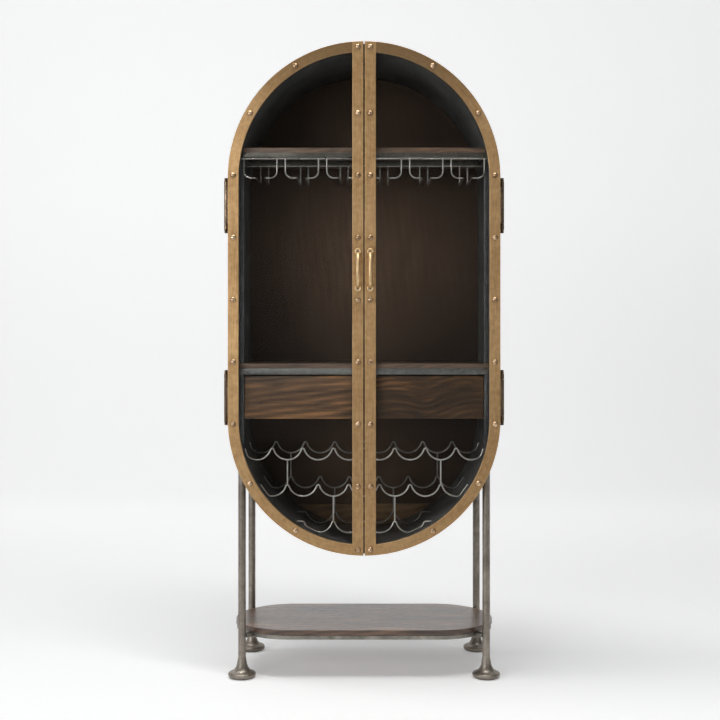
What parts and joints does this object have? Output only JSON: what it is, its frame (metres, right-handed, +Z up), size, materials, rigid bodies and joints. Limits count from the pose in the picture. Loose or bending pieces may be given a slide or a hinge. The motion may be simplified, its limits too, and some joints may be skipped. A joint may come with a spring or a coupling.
{
  "type": "bar cabinet",
  "caption": "Tall pill-shaped bar cabinet with two glazed metal-framed doors, shelves, stemware rack, drawers, wine rack and an open lower shelf on four legs.",
  "frame": {"origin": "under the middle of the whole object, on the floor", "axes": "+Z up, -Y to the front where the doors are, +X to the right as seen from the front"},
  "size_m": [0.877, 0.4574, 1.995],
  "materials": {
    "aged_brass": "brushed aged brass",
    "blackened_steel": "blackened, satin",
    "brown_wood": "brown horizontal grain, oiled",
    "clear_glass": "clear",
    "dark_wood": "dark open grain, oiled",
    "drawer_wood": "brown and orange grain, oiled",
    "pewter_steel": "pewter brown, satin",
    "polished_brass": "polished",
    "shelf_steel": "grey satin",
    "wire_steel": "bright wire"
  },
  "bodies": {
    "cabinet": {"outer_skin": "pewter_steel", "front_rim": "blackened_steel", "inner_liner": "blackened_steel", "back_panel": "dark_wood", "lower_back_board": "brown_wood", "door_catch": "blackened_steel", "upper_shelf_board": "dark_wood", "upper_shelf_frame": "shelf_steel", "middle_shelf_board": "dark_wood", "middle_shelf_band": "shelf_steel", "left_upper_upright": "shelf_steel", "left_lower_upright": "shelf_steel", "right_upper_upright": "shelf_steel", "right_lower_upright": "shelf_steel", "stemware_rack": "wire_steel", "front_wine_row_upper": "wire_steel", "front_wine_row_middle": "wire_steel", "front_wine_row_lower": "wire_steel", "rear_wine_row_upper": "wire_steel", "rear_wine_row_middle": "wire_steel", "rear_wine_row_lower": "wire_steel", "drawer_divider": "drawer_wood", "left_front_leg": "pewter_steel", "left_front_foot": "pewter_steel", "right_front_leg": "pewter_steel", "right_front_foot": "pewter_steel", "left_back_leg": "pewter_steel", "left_back_foot": "pewter_steel", "right_back_leg": "pewter_steel", "right_back_foot": "pewter_steel", "lower_shelf_board": "brown_wood", "lower_shelf_ring": "pewter_steel", "left_upper_case_leaf": "aged_brass", "left_upper_hinge_pin": "aged_brass", "left_lower_case_leaf": "aged_brass", "left_lower_hinge_pin": "aged_brass", "left_drawer_runner_outer": "drawer_wood", "left_drawer_runner_inner": "drawer_wood", "right_upper_case_leaf": "aged_brass", "right_upper_hinge_pin": "aged_brass", "right_lower_case_leaf": "aged_brass", "right_lower_hinge_pin": "aged_brass", "right_drawer_runner_outer": "drawer_wood", "right_drawer_runner_inner": "drawer_wood"},
    "left_door": {"left_door_frame": "aged_brass", "left_door_glass": "clear_glass", "left_glazing_bead": "blackened_steel", "left_handle": "polished_brass", "left_upper_door_leaf": "aged_brass", "left_lower_door_leaf": "aged_brass"},
    "right_door": {"right_door_frame": "aged_brass", "right_door_glass": "clear_glass", "right_glazing_bead": "blackened_steel", "right_handle": "polished_brass", "right_upper_door_leaf": "aged_brass", "right_lower_door_leaf": "aged_brass"},
    "left_drawer": {"left_drawer_front": "drawer_wood", "left_drawer_box": "drawer_wood"},
    "right_drawer": {"right_drawer_front": "drawer_wood", "right_drawer_box": "drawer_wood"}
  },
  "joints": [
    {"name": "left_door_hinge", "type": "hinge", "parent": "cabinet", "child": "left_door", "pos_m": [-0.432, -0.1686, 1.193], "axis": [0, 0, -1], "range_deg": [0, 165]},
    {"name": "left_drawer_slide", "type": "slide", "parent": "cabinet", "child": "left_drawer", "axis": [0, -1, 0], "range_m": [0, 0.22]},
    {"name": "right_door_hinge", "type": "hinge", "parent": "cabinet", "child": "right_door", "pos_m": [0.432, -0.1686, 1.193], "axis": [0, 0, 1], "range_deg": [0, 165]},
    {"name": "right_drawer_slide", "type": "slide", "parent": "cabinet", "child": "right_drawer", "axis": [0, -1, 0], "range_m": [0, 0.22]}
  ],
  "couplings": [
    {"joint": "left_drawer_slide", "follows": "left_door_hinge", "m_per_rad": 0.0763},
    {"joint": "right_drawer_slide", "follows": "right_door_hinge", "m_per_rad": 0.0763}
  ]
}
